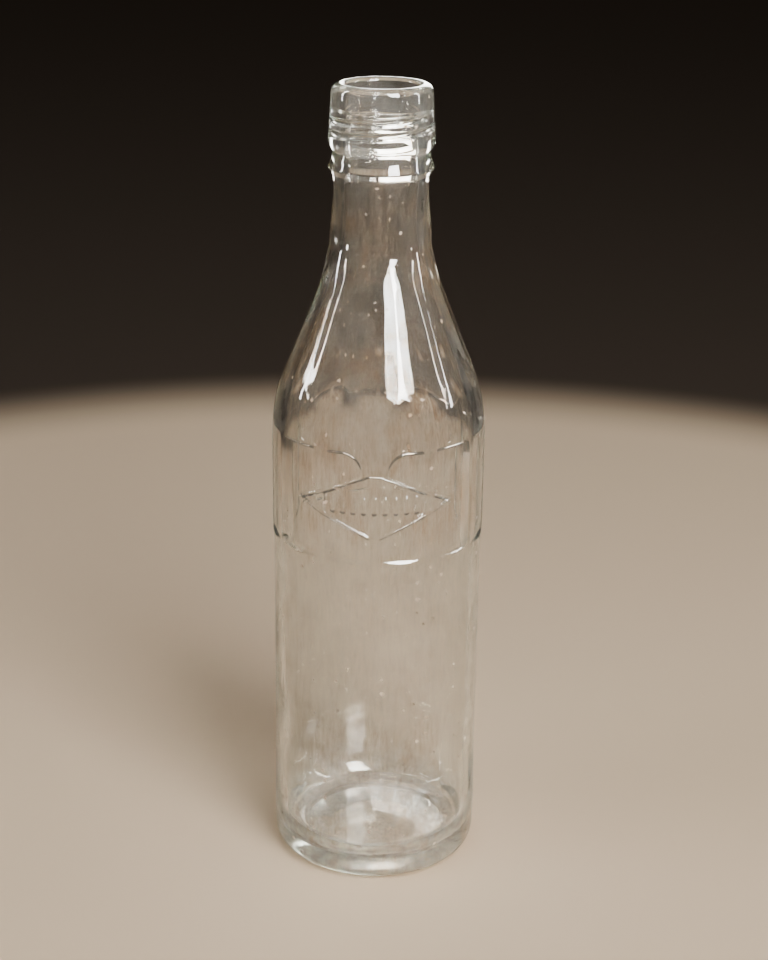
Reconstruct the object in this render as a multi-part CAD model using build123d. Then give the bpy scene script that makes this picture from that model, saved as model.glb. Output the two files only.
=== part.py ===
"""A tall soda bottle of pressed glass: one piece, with an internal screw mouth.

The bottle stands on Z = 0 with its axis on Z and the middle of its front face towards -Y.
Sizes are in millimetres and angles in degrees. An outline is a list of corners, each a
radius from the axis, a height, and the rounding of that corner.
"""
from build123d import *
from math import asin, cos, degrees, radians, tan
import os

# Overall sizes
height = 271.5
body_radius = 36.0
wall = 4.0
reach = 60.0  # how far cutters run past the glass

# Base: a rounded heel, a flat bearing ring, and a shallow push-up in the middle
heel_inset = 0.7
heel_rounding = 6.0
bearing_width = 4.0
push_up_height = 4.0
push_up_slope_width = 13.3
push_up_rounding = 20.0
bearing_edge_rounding = 0.5
heel_bulge_inset = 0.1
heel_bulge_height = 15.0
heel_bulge_rounding = 120.0
label_recess = 0.4
label_bottom = 32.0
label_rounding = 200.0
base_thickness = 6.5
floor_rise = 2.0
floor_rounding = 60.0
floor_corner_width = 10.5
floor_corner_rounding = 10.0

# Band of upright flat panels round the body
panel_count = 12
panel_bottom = 121.5
panel_top = 158.5
panel_land_width = 2.6
panel_bottom_run = 1.8
panel_top_run = 0.6
band_step_below = 5.0
band_step_height = 6.0
band_step_rounding = 40.0
front_strip_width = 8.8
front_corner_rounding = 6.5

# Cartouche on the front of the band
cartouche_middle = 140.6
cartouche_height = 22.6
cartouche_width = 52.6
cartouche_top_width = 4.6
rib_width = 1.1
rib_rise = 0.15
rib_root = 1.6
field_width = 33.0
field_depth = 0.8
reed_count = 9
reed_spacing = 3.6
reed_length = 6.6
reed_radius = 1.1
reed_rise = 0.6

# Shoulder: a long cone between two blends, with shallow flat flutes
cone_angle = 22.0
root_length = 11.5
root_slope = 0.263
shoulder_rounding = 75.0
root_rounding = 60.0
shoulder_wall = 4.2
throat_rounding = 40.0
flute_count = 12
flute_depth = 0.7
flute_top_overlap = 2.0

# Neck, counted down from the mouth
neck_wall = 3.8
neck_foot_step = 1.2
neck_foot_depth = 52.0
neck_foot_length = 4.5
neck_straight_depth = 36.0
neck_rounding = 30.0
foot_top_rounding = 6.0
foot_bottom_rounding = 3.0
neck_bore_step = 0.3

# Finish: a rounded lip over a flared collar with a sharp edge, as walls outside the mouth's bore
lip_top_wall = 4.1
lip_wall = 5.55
lip_bottom_depth = 19.4
lip_crest_rounding = 2.7
lip_bottom_rounding = 6.0
crease_wall = 3.7
crease_depth = 21.5
skirt_wall = 4.2
skirt_depth = 24.1
collar_wall = 5.25
collar_depth = 26.5
collar_edge_height = 0.4
collar_chamfer_height = 2.0
sharp_edge_rounding = 0.12
skirt_rounding = 6.0
crease_rounding = 0.2
neck_end_rounding = 0.6
neck_top_step = 0.35
neck_top_height = 2.6

# Mouth: a plain seat over an internal right-hand screw for a stopper
mouth_radius = 12.1
mouth_rounding = 1.6
seat_depth = 8.0
seat_step_length = 1.0
seat_step_rounding = 2.0
thread_top_depth = 10.2
thread_pitch = 4.2
thread_turns = 2.0
thread_rise = 0.9
thread_root_width = 2.4
thread_crest_width = 1.0
thread_embed = 0.35

# Heights and radii that follow from the sizes above
heel_radius = body_radius - heel_inset
ring_radius = heel_radius - heel_rounding - bearing_width
heel_bulge_radius = body_radius - heel_bulge_inset
label_radius = body_radius - label_recess
inner_radius = body_radius - wall
neck_bore_radius = mouth_radius - neck_bore_step
neck_radius = neck_bore_radius + neck_wall
neck_foot_radius = neck_radius + neck_foot_step
foot_bottom = height - neck_foot_depth
cone_top_height = foot_bottom - root_length
cone_top_radius = neck_foot_radius + root_slope * root_length
cone_slope = tan(radians(cone_angle))
cone_bottom_height = cone_top_height - (body_radius - cone_top_radius) / cone_slope
collar_bottom_height = height - collar_depth - collar_edge_height
chamfer_bottom_height = collar_bottom_height - collar_chamfer_height
thread_bottom_height = height - thread_top_depth - thread_pitch * thread_turns


def turned(corners):
    """A solid of revolution about Z from corners that start and end on the axis."""
    points = [(radius, level) for radius, level, rounding in corners]
    roundings = [rounding for radius, level, rounding in corners[1:-1]]
    outline = FilletPolyline(*points, radius=roundings)
    closing = Line(points[-1], points[0])
    return revolve(Plane.XZ * make_face(outline + closing), Axis.Z)


def body_corners():
    """Corners of the outside from the push-up, round the heel and up to the shoulder."""
    step_start = panel_bottom - band_step_below
    return [
        (0, push_up_height, 0),
        (ring_radius - push_up_slope_width, push_up_height, push_up_rounding),
        (ring_radius, 0, bearing_edge_rounding),
        (heel_radius, 0, heel_rounding),
        (heel_bulge_radius, heel_bulge_height, heel_bulge_rounding),
        (label_radius, label_bottom, label_rounding),
        (label_radius, step_start, band_step_rounding),
        (body_radius, step_start + band_step_height, band_step_rounding),
        (body_radius, cone_bottom_height, shoulder_rounding),
        (cone_top_radius, cone_top_height, root_rounding),
    ]


def neck_corners():
    """Corners of the outside from the neck's foot up to the underside of the collar."""
    return [
        (neck_foot_radius, foot_bottom, foot_bottom_rounding),
        (neck_foot_radius, foot_bottom + neck_foot_length, foot_top_rounding),
        (neck_radius, height - neck_straight_depth, neck_rounding),
        (neck_radius, chamfer_bottom_height - neck_top_height, foot_bottom_rounding),
        (neck_radius + neck_top_step, chamfer_bottom_height, neck_end_rounding),
    ]


def finish_corners():
    """Corners of the outside from the collar's sharp edge over the lip to the axis."""
    return [
        (mouth_radius + collar_wall, collar_bottom_height, sharp_edge_rounding),
        (mouth_radius + collar_wall, height - collar_depth, sharp_edge_rounding),
        (mouth_radius + skirt_wall, height - skirt_depth, skirt_rounding),
        (mouth_radius + crease_wall, height - crease_depth, crease_rounding),
        (mouth_radius + lip_wall, height - lip_bottom_depth, lip_bottom_rounding),
        (mouth_radius + lip_top_wall, height, lip_crest_rounding),
        (0, height, 0),
    ]


def outside():
    """The whole outer form, filled solid and still round."""
    return turned(body_corners() + neck_corners() + finish_corners())


def inside():
    """The hollow: raised floor, wall, throat, neck bore and the wider seat of the mouth."""
    thickness = shoulder_wall / cos(radians(cone_angle))
    inner_cone_bottom = cone_bottom_height + (wall - thickness) / cone_slope
    throat_height = cone_bottom_height + (body_radius - thickness - neck_bore_radius) / cone_slope
    seat_bottom = height - seat_depth
    return turned([
        (0, base_thickness + floor_rise, 0),
        (inner_radius - floor_corner_width, base_thickness, floor_rounding),
        (inner_radius, base_thickness + floor_rise, floor_corner_rounding),
        (inner_radius, inner_cone_bottom, shoulder_rounding - wall),
        (neck_bore_radius, throat_height, throat_rounding),
        (neck_bore_radius, seat_bottom - seat_step_length, seat_step_rounding),
        (mouth_radius, seat_bottom, seat_step_rounding),
        (mouth_radius, height + reach, 0),
        (0, height + reach, 0),
    ])


def mouth_rounding_cut():
    """The ring removed at the mouth to round the inner edge of the rim."""
    corner = Pos(mouth_radius, height - mouth_rounding) * Rectangle(
        mouth_rounding, mouth_rounding, align=(Align.MIN, Align.MIN)
    )
    kept = Pos(mouth_radius + mouth_rounding, height - mouth_rounding) * Circle(mouth_rounding)
    return revolve(Plane.XZ * (corner - kept), Axis.Z)


def thread():
    """The right-hand ridge inside the mouth, sunk a little into its wall."""
    root = neck_bore_radius + thread_embed
    crest = neck_bore_radius - thread_rise
    path = Helix(thread_pitch, thread_pitch * thread_turns, root)
    section_plane = Plane(origin=path @ 0, x_dir=(1, 0, 0), z_dir=path % 0)
    ridge = Polyline(
        (0, -thread_root_width / 2),
        (crest - root, -thread_crest_width / 2),
        (crest - root, thread_crest_width / 2),
        (0, thread_root_width / 2),
        close=True,
    )
    swept = sweep(section_plane * make_face(ridge), path=path, is_frenet=True)
    return Pos(0, 0, thread_bottom_height) * swept


def around(count, offset, shape):
    """Copies of a shape that faces -Y, turned evenly about the axis from an offset."""
    return [Rot(0, 0, offset + 360 / count * index) * shape for index in range(count)]


def facing_front(outline, width):
    """A cutter from an outline of depth and height, spread sideways and facing -Y."""
    cutter = extrude(Plane.XZ * make_face(outline), width / 2, both=True)
    return Rot(0, 0, -90) * cutter


def flute():
    """One flat flute of the shoulder, which fades out at both ends."""
    outline = FilletPolyline(
        (reach, cone_bottom_height),
        (body_radius - flute_depth / cos(radians(cone_angle)), cone_bottom_height),
        (cone_top_radius - flute_depth, cone_top_height),
        (neck_foot_radius, foot_bottom + flute_top_overlap),
        (reach, foot_bottom + flute_top_overlap),
        radius=[0, root_rounding, 0],
    )
    closing = Line(outline @ 1, outline @ 0)
    return facing_front(outline + closing, body_radius)


def panel():
    """One upright flat panel of the band, with its ends sloping out to the round body."""
    half_angle = 180 / panel_count - degrees(asin(panel_land_width / 2 / body_radius))
    depth = body_radius * cos(radians(half_angle))
    out = reach - depth
    outline = Polyline(
        (depth, panel_bottom),
        (depth, panel_top),
        (reach, panel_top + out * panel_top_run),
        (reach, panel_bottom - out * panel_bottom_run),
        close=True,
    )
    return facing_front(outline, body_radius)


def front_strip():
    """What stays round in front: a strip that widens upwards between the two front panels."""
    half = front_strip_width / 2
    top = panel_top + reach
    side = FilletPolyline(
        (half, cartouche_middle),
        (half, panel_top),
        (body_radius, panel_top),
        (body_radius, top),
        radius=[front_corner_rounding, 0],
    )
    frame = Polyline((body_radius, top), (0, top), (0, cartouche_middle), (half, cartouche_middle))
    half_face = make_face(side + frame)
    face = half_face + mirror(half_face, Plane.YZ)
    return extrude(Plane.XZ * face, reach)


def cartouche_face(inset):
    """The cartouche's elongated hexagon, drawn in the front view and shrunk by an inset."""
    tip = cartouche_width / 2
    flat = cartouche_top_width / 2
    rise = cartouche_height / 2
    corners = [(tip, 0), (flat, rise), (-flat, rise), (-tip, 0), (-flat, -rise), (flat, -rise)]
    hexagon = make_face(Polyline(*corners, close=True))
    shrunk = offset(hexagon, -inset, kind=Kind.INTERSECTION) if inset else hexagon
    return Pos(0, cartouche_middle) * shrunk


def cartouche_rib():
    """The raised outline of the cartouche, following the round of the body."""
    outline = cartouche_face(0) - cartouche_face(rib_width)
    prism = extrude(Plane.XZ * outline, reach)
    tube = Cylinder(body_radius + rib_rise, reach)
    tube -= Cylinder(body_radius - rib_root, reach)
    return prism & Pos(0, 0, cartouche_middle) * tube


def cartouche_field():
    """What is taken off inside the cartouche, down to a smooth round field."""
    strip = Pos(0, cartouche_middle) * Rectangle(field_width, cartouche_height)
    prism = extrude(Plane.XZ * (cartouche_face(rib_width) & strip), reach)
    return prism - Pos(0, 0, cartouche_middle) * Cylinder(body_radius - field_depth, reach)


def reeds():
    """The row of short upright reeds in the middle of the cartouche."""
    centre_radius = body_radius - field_depth + reed_rise - reed_radius
    straight = reed_length - 2 * reed_radius
    reed = Cylinder(reed_radius, straight)
    reed += Pos(0, 0, straight / 2) * Sphere(reed_radius)
    reed += Pos(0, 0, -straight / 2) * Sphere(reed_radius)
    placed = Pos(0, -centre_radius, cartouche_middle) * reed
    pitch_angle = degrees(reed_spacing / body_radius)
    first = -(reed_count - 1) / 2 * pitch_angle
    return [Rot(0, 0, first + pitch_angle * index) * placed for index in range(reed_count)]


def bottle():
    """The whole bottle: one piece of glass."""
    glass = outside()
    glass -= around(flute_count, 0, flute())
    panels = around(panel_count, 180 / panel_count, panel())
    front = front_strip()
    glass -= [panels[0] - front, panels[-1] - front] + panels[1:-1]
    glass -= cartouche_field()
    glass += cartouche_rib()
    glass += reeds()
    glass -= inside()
    glass -= mouth_rounding_cut()
    glass += thread()
    return glass


os.makedirs("parts", exist_ok=True)
export_step(bottle(), "parts/bottle.step")
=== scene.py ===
"""Looks of a tall pressed-glass soda bottle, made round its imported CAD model.

The bottle is one closed skin of glass: an outline of radius and height is carried round
the axis, and flats, panels, the cartouche and the screw thread change its radius.
Sizes are in millimetres and angles in degrees, until a mesh is made in metres. An angle
round the bottle is measured from its front, -Y, towards +X.
"""
import logging
import math
from dataclasses import dataclass, field
from enum import Enum
from typing import NamedTuple

import bpy
import numpy as np
from mathutils import Matrix, Vector


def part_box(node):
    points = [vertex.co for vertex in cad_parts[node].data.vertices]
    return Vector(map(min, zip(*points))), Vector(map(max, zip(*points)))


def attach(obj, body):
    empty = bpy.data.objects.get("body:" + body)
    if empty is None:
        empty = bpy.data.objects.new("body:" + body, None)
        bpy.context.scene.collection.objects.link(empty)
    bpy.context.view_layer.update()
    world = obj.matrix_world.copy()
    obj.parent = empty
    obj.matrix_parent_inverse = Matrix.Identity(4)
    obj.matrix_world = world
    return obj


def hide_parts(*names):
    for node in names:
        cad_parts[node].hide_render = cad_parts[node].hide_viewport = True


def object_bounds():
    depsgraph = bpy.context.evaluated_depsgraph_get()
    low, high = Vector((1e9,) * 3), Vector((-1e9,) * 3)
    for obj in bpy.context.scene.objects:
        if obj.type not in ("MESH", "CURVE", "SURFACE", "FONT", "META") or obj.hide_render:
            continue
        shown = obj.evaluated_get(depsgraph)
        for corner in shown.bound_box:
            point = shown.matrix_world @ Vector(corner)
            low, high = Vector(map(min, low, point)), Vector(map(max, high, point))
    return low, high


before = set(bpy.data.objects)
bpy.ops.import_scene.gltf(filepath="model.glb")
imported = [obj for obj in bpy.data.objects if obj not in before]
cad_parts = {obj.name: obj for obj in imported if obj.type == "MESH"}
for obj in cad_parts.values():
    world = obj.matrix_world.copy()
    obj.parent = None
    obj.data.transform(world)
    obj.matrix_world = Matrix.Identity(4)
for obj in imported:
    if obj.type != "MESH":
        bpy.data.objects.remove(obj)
cad_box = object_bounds()

LOG = logging.getLogger("bottle")
MILLIMETRE = 0.001
FULL_TURN = 360.0


class Corner(NamedTuple):
    """A corner of an outline: radius from the axis, height, and how far it is rounded."""

    radius: float
    height: float
    rounding: float


class Columns(Enum):
    """How closely the vertices of a row stand round the bottle."""

    WIDE = "inside"
    PLAIN = "outside"
    CLOSE = "panel band"


class Socket(Enum):
    """Names of the surface shader's sockets that the finishes set or drive."""

    COLOUR = "Base Color"
    ROUGHNESS = "Roughness"
    INDEX = "IOR"
    TRANSMISSION = "Transmission Weight"
    SPECULAR = "Specular IOR Level"
    NORMAL = "Normal"


def ease(value: np.ndarray, low: float, high: float) -> np.ndarray:
    """Rises smoothly from 0 at low to 1 at high, as three t squared less two t cubed.

    Args:
        value: the quantity that the step follows.
        low: where the step starts.
        high: where the step ends.

    Returns:
        The step's height at each value.
    """
    part = np.clip((value - low) / (high - low), 0.0, 1.0)
    return part * part * (3.0 - 2.0 * part)


def fade(value: np.ndarray, span: tuple[float, float, float, float]) -> np.ndarray:
    """Rises smoothly from 0 to 1 over a span's first two values and falls over its last.

    Args:
        value: the quantity that the fade follows.
        span: where it starts to rise, is full, starts to fall and ends.

    Returns:
        The fade at each value, as the rising step times the falling one.
    """
    rise_from, rise_to, fall_from, fall_to = span
    return ease(value, rise_from, rise_to) * ease(fall_to - value, 0.0, fall_to - fall_from)


def soft_min(first: np.ndarray, second: np.ndarray, width: float) -> np.ndarray:
    """The lesser of two surfaces, with the edge where they meet rounded off.

    Where they differ by less than width, the result is lower than both by a quarter of
    width times the square of the share of width that is left.

    Args:
        first: radii of one surface.
        second: radii of the other.
        width: the difference at which the rounding starts.

    Returns:
        The joined surface's radii.
    """
    share = np.clip(1.0 - np.abs(first - second) / width, 0.0, None)
    return np.minimum(first, second) - width / 4.0 * share * share


def rounded_outline(corners: list[Corner], arc_step: float) -> np.ndarray:
    """Points of a line through corners, each turned into an arc.

    An arc of rounding q at a corner that turns by an angle t starts q times tan(t / 2)
    before it, and its points are its centre plus q times the cosine and sine of angles
    spread evenly over the turn.

    Args:
        corners: the line's corners, with its two ends unrounded.
        arc_step: the turn between an arc's points.

    Returns:
        One row of radius and height for each point.
    """
    points = np.array([corner[:2] for corner in corners])
    runs = np.diff(points, axis=0)
    runs /= np.linalg.norm(runs, axis=1, keepdims=True)
    parts = [points[:1]]
    for before, after, point, corner in zip(runs, runs[1:], points[1:], corners[1:-1]):
        across = before[0] * after[1] - before[1] * after[0]
        turn = math.atan2(across, before @ after)
        side = math.copysign(1.0, turn)
        start = point - before * corner.rounding * math.tan(abs(turn) / 2.0)
        centre = start + side * corner.rounding * np.array([-before[1], before[0]])
        count = max(3, math.ceil(abs(turn) / math.radians(arc_step)) + 1)
        first = math.atan2(*(start - centre)[::-1])
        angles = first + np.linspace(0.0, turn, count)
        ring = np.column_stack([np.cos(angles), np.sin(angles)])
        parts.append(centre + corner.rounding * ring)
    parts.append(points[-1:])
    return np.vstack(parts)


@dataclass(frozen=True)
class RowSpacing:
    """How far apart the rows of vertices stand along the outline."""

    widest: float = 2.6
    most_turn: float = 9.0
    arc_step: float = 1.5
    finest: float = 0.1
    shortest_step: float = 1e-6
    close_spans: tuple[tuple[float, float, float], ...] = (
        (118.0, 161.5, 0.4),
        (161.5, 226.0, 1.2),
        (226.0, 252.0, 0.8),
    )
    thread_span: tuple[float, float, float] = (250.0, 264.5, 0.34)

    def spread(self, outline: np.ndarray, inside_from: int) -> tuple[np.ndarray, int]:
        """Spreads rows along the outline, closer where it bends or carries detail.

        Each piece of the outline asks for its length over the local spacing, plus its
        bend over the most turn that two rows may span. The rows stand at equal shares
        of the running total.

        Args:
            outline: points of radius and height.
            inside_from: the point at which the outline turns into the mouth.

        Returns:
            The rows, and the first row of the inside.
        """
        runs = np.hypot(*np.diff(outline, axis=0).T)
        travelled = np.concatenate([[0.0], np.cumsum(runs)])
        marks = np.arange(0.0, travelled[-1], self.finest)
        places = np.union1d(travelled, marks)
        inside_from = int(np.searchsorted(places, travelled[inside_from]))
        outline = np.column_stack(
            [np.interp(places, travelled, axis) for axis in outline.T])
        steps = np.diff(outline, axis=0)
        lengths = np.linalg.norm(steps, axis=1)
        keep = lengths > self.shortest_step
        middles = (outline[1:, 1] + outline[:-1, 1])[keep] / 2.0
        inside = (np.arange(len(lengths)) >= inside_from)[keep]
        bends = np.unwrap(np.arctan2(steps[keep, 1], steps[keep, 0]))
        turns = np.abs(np.gradient(np.degrees(bends)))
        spacing = np.full(len(middles), self.widest)
        for low, high, gap in self.close_spans:
            spacing[(middles > low) & (middles < high) & ~inside] = gap
        low, high, gap = self.thread_span
        spacing[(middles > low) & (middles < high) & inside] = gap
        demand = lengths[keep] / spacing + turns / self.most_turn
        total = np.concatenate([[0.0], np.cumsum(demand)])
        points = np.vstack([outline[:-1][keep], outline[-1:]])
        places = np.linspace(0.0, total[-1], math.ceil(total[-1]) + 1)
        rows = [np.interp(places, total, points[:, axis]) for axis in range(2)]
        turned_in = total[np.argmax(inside)]
        return np.column_stack(rows), int(np.searchsorted(places, turned_in))


@dataclass(frozen=True)
class ColumnSpacing:
    """Angles of the columns of vertices round the bottle."""

    sector: float = 30.0
    half_offsets: tuple[float, ...] = (0.0, 2.07, 4.6, 7.2, 9.8, 12.2, 14.2)
    edge_offsets: tuple[float, ...] = (1.1, 3.1)
    front_half: float = 49.5
    front_gap: float = 0.5
    least_gap: float = 0.13

    def plain(self) -> np.ndarray:
        """Columns of the outside: the same in each sector, closer at its ridge and land.

        Returns:
            The angles, in rising order.
        """
        offsets = sorted({-value for value in self.half_offsets} | set(self.half_offsets))
        offsets = np.array([-self.sector / 2.0, *offsets])
        middles = np.arange(-180.0 + self.sector / 2.0, 180.0, self.sector)
        angles = (middles[:, None] - self.sector / 2.0 + offsets[None, :]).ravel()
        return np.sort((angles + 180.0) % FULL_TURN - 180.0)

    def close(self) -> np.ndarray:
        """Columns of the band: the plain ones, more at the panels' edges and in front.

        Returns:
            The angles, in rising order.
        """
        plain = self.plain()
        lands = np.arange(-180.0, 180.0, self.sector)
        edges = np.concatenate([lands + s * e for e in self.edge_offsets for s in (-1, 1)])
        edges = (edges + 180.0) % FULL_TURN - 180.0
        front = np.arange(-self.front_half, self.front_half, self.front_gap)
        extra = np.sort(np.concatenate([edges, front]))
        extra = extra[np.abs(extra[:, None] - plain[None, :]).min(axis=1) > self.least_gap]
        extra = extra[np.concatenate([[True], np.diff(extra) > self.least_gap])]
        return np.sort(np.concatenate([plain, extra]))

    def angles(self, columns: Columns) -> np.ndarray:
        """The angles of one kind of row, which starts at the back of the bottle.

        Args:
            columns: the kind of row.

        Returns:
            The angles, in rising order.
        """
        if columns is Columns.CLOSE:
            return self.close()
        plain = self.plain()
        return plain[::2] if columns is Columns.WIDE else plain


@dataclass(frozen=True)
class Ripples:
    """Slow waves of a wall that was blown against its mould, as a sum of cosines.

    Each wave is a cosine of a whole number of turns round the bottle plus the height
    over its wave length, so that it meets itself behind.
    """

    depth: float
    count: int
    most_turns: int
    shortest: float
    longest: float
    seed: int

    def at(self, angle: np.ndarray, height: np.ndarray) -> np.ndarray:
        """The waves' mean at each angle and height, times the depth.

        Args:
            angle: angles from the front.
            height: heights.

        Returns:
            The waves, between minus and plus the depth.
        """
        draw = np.random.default_rng(self.seed)
        around = draw.integers(1, self.most_turns + 1, self.count)
        lengths = draw.uniform(self.shortest, self.longest, self.count)
        shifts = draw.uniform(0.0, 2.0 * math.pi, self.count)
        waves = np.cos(
            around * np.radians(angle)[..., None]
            + 2.0 * math.pi * height[..., None] / lengths
            + shifts
        )
        return self.depth * waves.mean(axis=-1)


@dataclass(frozen=True)
class PanelBand:
    """The band of upright flat panels, and the strip in front that stays round."""

    count: int = 12
    bottom: float = 121.5
    top: float = 158.5
    land_width: float = 2.6
    bottom_run: float = 1.8
    top_run: float = 0.6
    edge: float = 0.05
    strip_half: float = 4.4
    strip_bottom: float = 140.6
    strip_rounding: float = 6.5
    strip_edge: float = 0.8

    def flat_distance(self, height: np.ndarray, body_radius: float) -> np.ndarray:
        """Distance of the flats from the axis: level between the ends, then sloping out.

        Args:
            height: heights.
            body_radius: the bottle's radius on the lands between panels.

        Returns:
            The distance at each height.
        """
        land = math.degrees(math.asin(self.land_width / 2.0 / body_radius))
        half = FULL_TURN / 2.0 / self.count - land
        depth = body_radius * math.cos(math.radians(half))
        below = (self.bottom - height) / self.bottom_run
        above = (height - self.top) / self.top_run
        return depth + np.maximum(0.0, np.maximum(below, above))

    def strip(self, across: np.ndarray, height: np.ndarray) -> np.ndarray:
        """How far a point is in the round strip in front, from 0 outside to 1 inside.

        The strip is bounded by uprights, which turn outwards at the top in quarter
        circles. The mask is a step across the distance to that line.

        Args:
            across: distances from the middle plane.
            height: heights.

        Returns:
            The mask.
        """
        side = self.strip_half - across
        centre_across = self.strip_half + self.strip_rounding
        centre_height = self.top - self.strip_rounding
        reach = np.hypot(centre_across - across, height - centre_height)
        arc = np.where(across < centre_across, reach - self.strip_rounding,
                       height - self.top)
        distance = np.where(height > centre_height, np.maximum(side, arc), side)
        distance = np.minimum(distance, height - self.strip_bottom)
        return ease(distance, -self.strip_edge / 2.0, self.strip_edge / 2.0)

    def cut(self, radius: np.ndarray, angle: np.ndarray, height: np.ndarray,
            body_radius: float) -> np.ndarray:
        """Presses the panels into a round surface.

        A flat is its distance from the axis over the cosine of the angle from the
        panel's middle, and the surface is the lesser of that and its own radius.

        Args:
            radius: the round surface.
            angle: angles from the front.
            height: heights.
            body_radius: the bottle's radius on the lands between panels.

        Returns:
            The surface with its panels.
        """
        sector = FULL_TURN / self.count
        off_middle = np.abs(angle % sector - sector / 2.0)
        flat = self.flat_distance(height, body_radius) / np.cos(np.radians(off_middle))
        pressed = soft_min(radius, flat, self.edge)
        across = np.abs(radius * np.sin(np.radians(angle)))
        kept = self.strip(across, height) * (np.abs(angle) < sector)
        return radius * kept + pressed * (1.0 - kept)


@dataclass(frozen=True)
class Cartouche:
    """The raised six-sided outline on the band's front, its field and its row of reeds."""

    middle: float = 140.6
    height: float = 22.6
    width: float = 52.6
    top_width: float = 4.6
    rib_width: float = 1.1
    rib_rise: float = 0.15
    rib_edge: float = 0.40
    field_half: float = 16.5
    field_depth: float = 0.8
    field_edge: float = 0.5
    reed_count: int = 9
    reed_spacing: float = 3.6
    reed_length: float = 6.6
    reed_radius: float = 1.1
    reed_rise: float = 0.6

    def depth_inside(self, across: np.ndarray, level: np.ndarray) -> np.ndarray:
        """Distance inside the six-sided outline, as the least distance to its sides.

        Args:
            across: distances from the middle plane.
            level: distances from the height of the outline's middle.

        Returns:
            The distance, less than nothing outside.
        """
        tip, flat, rise = self.width / 2.0, self.top_width / 2.0, self.height / 2.0
        slant = math.hypot(tip - flat, rise)
        slope_side = (rise * tip - rise * across - (tip - flat) * level) / slant
        return np.minimum(rise - level, slope_side)

    def raised_reeds(self, angle: np.ndarray, level: np.ndarray,
                     floor: float) -> np.ndarray:
        """How far the reeds stand over the field.

        A reed is a capsule: its surface is its middle's radius plus the root of the
        square of its own radius less the square of the distance from its centreline.

        Args:
            angle: angles from the front.
            level: distances from the height of the reeds' middle.
            floor: the field's radius.

        Returns:
            The reeds' height over the field.
        """
        pitch = math.degrees(self.reed_spacing / (floor + self.field_depth))
        last = self.reed_count // 2
        nearest = np.clip(np.round(angle / pitch), -last, last)
        across = np.radians(angle - nearest * pitch) * floor
        past_end = np.maximum(level - (self.reed_length / 2.0 - self.reed_radius), 0.0)
        square = self.reed_radius ** 2 - across ** 2 - past_end ** 2
        crown = np.sqrt(np.maximum(square, 0.0)) - self.reed_radius + self.reed_rise
        return np.maximum(crown, 0.0)

    def press(self, radius: np.ndarray, angle: np.ndarray, height: np.ndarray,
              body_radius: float) -> np.ndarray:
        """Adds the cartouche to the front of the band.

        Args:
            radius: the band's surface.
            angle: angles from the front.
            height: heights.
            body_radius: the bottle's radius.

        Returns:
            The surface with the field sunk, the rib raised round it and the reeds on it.
        """
        level = np.abs(height - self.middle)
        across = np.abs(body_radius * np.sin(np.radians(angle)))
        inside = self.depth_inside(across, level)
        front = np.abs(angle) < FULL_TURN / 4.0
        edge = self.field_edge / 2.0
        inner = ease(inside - self.rib_width, -edge, edge)
        inner = inner * ease(self.field_half - across, -edge, edge) * front
        floor = body_radius - self.field_depth
        sunk = radius + inner * (np.minimum(radius, floor) - radius)
        sunk = np.maximum(sunk, inner * (floor + self.raised_reeds(angle, level, floor)))
        rib = ease(inside, 0.0, self.rib_edge)
        rib = rib * ease(self.rib_width - inside, 0.0, self.rib_edge) * front
        crest = np.maximum(body_radius + self.rib_rise, sunk)
        return sunk + rib * (crest - sunk)


@dataclass(frozen=True)
class ScrewThread:
    """The right-hand ridge inside the mouth that takes a stopper."""

    bottom: float = 252.9
    pitch: float = 4.2
    turns: float = 2.0
    rise: float = 0.9
    root_width: float = 2.4
    crest_width: float = 1.0
    start_angle: float = 90.0
    run_out: float = 24.0

    def height_over_wall(self, angle: np.ndarray, height: np.ndarray) -> np.ndarray:
        """How far the ridge stands in from the wall.

        The ridge's centreline climbs by the pitch in each turn. Its section is a smooth
        step from the root's width to the crest's, and it fades in over its run-out.

        Args:
            angle: angles from the front.
            height: heights.

        Returns:
            The ridge's height over the wall.
        """
        past_start = (angle - self.start_angle) % FULL_TURN
        ridge = np.zeros(np.broadcast(angle, height).shape)
        for turn in range(math.ceil(self.turns)):
            travel = past_start + FULL_TURN * turn
            centre = self.bottom + self.pitch * travel / FULL_TURN
            flank = ease(self.root_width / 2 - np.abs(height - centre), 0.0,
                         (self.root_width - self.crest_width) / 2)
            ends = ease(travel, 0.0, self.run_out)
            ends = ends * ease(FULL_TURN * self.turns - travel, 0.0, self.run_out)
            ridge = np.maximum(ridge, flank * ends)
        return self.rise * ridge


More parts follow.
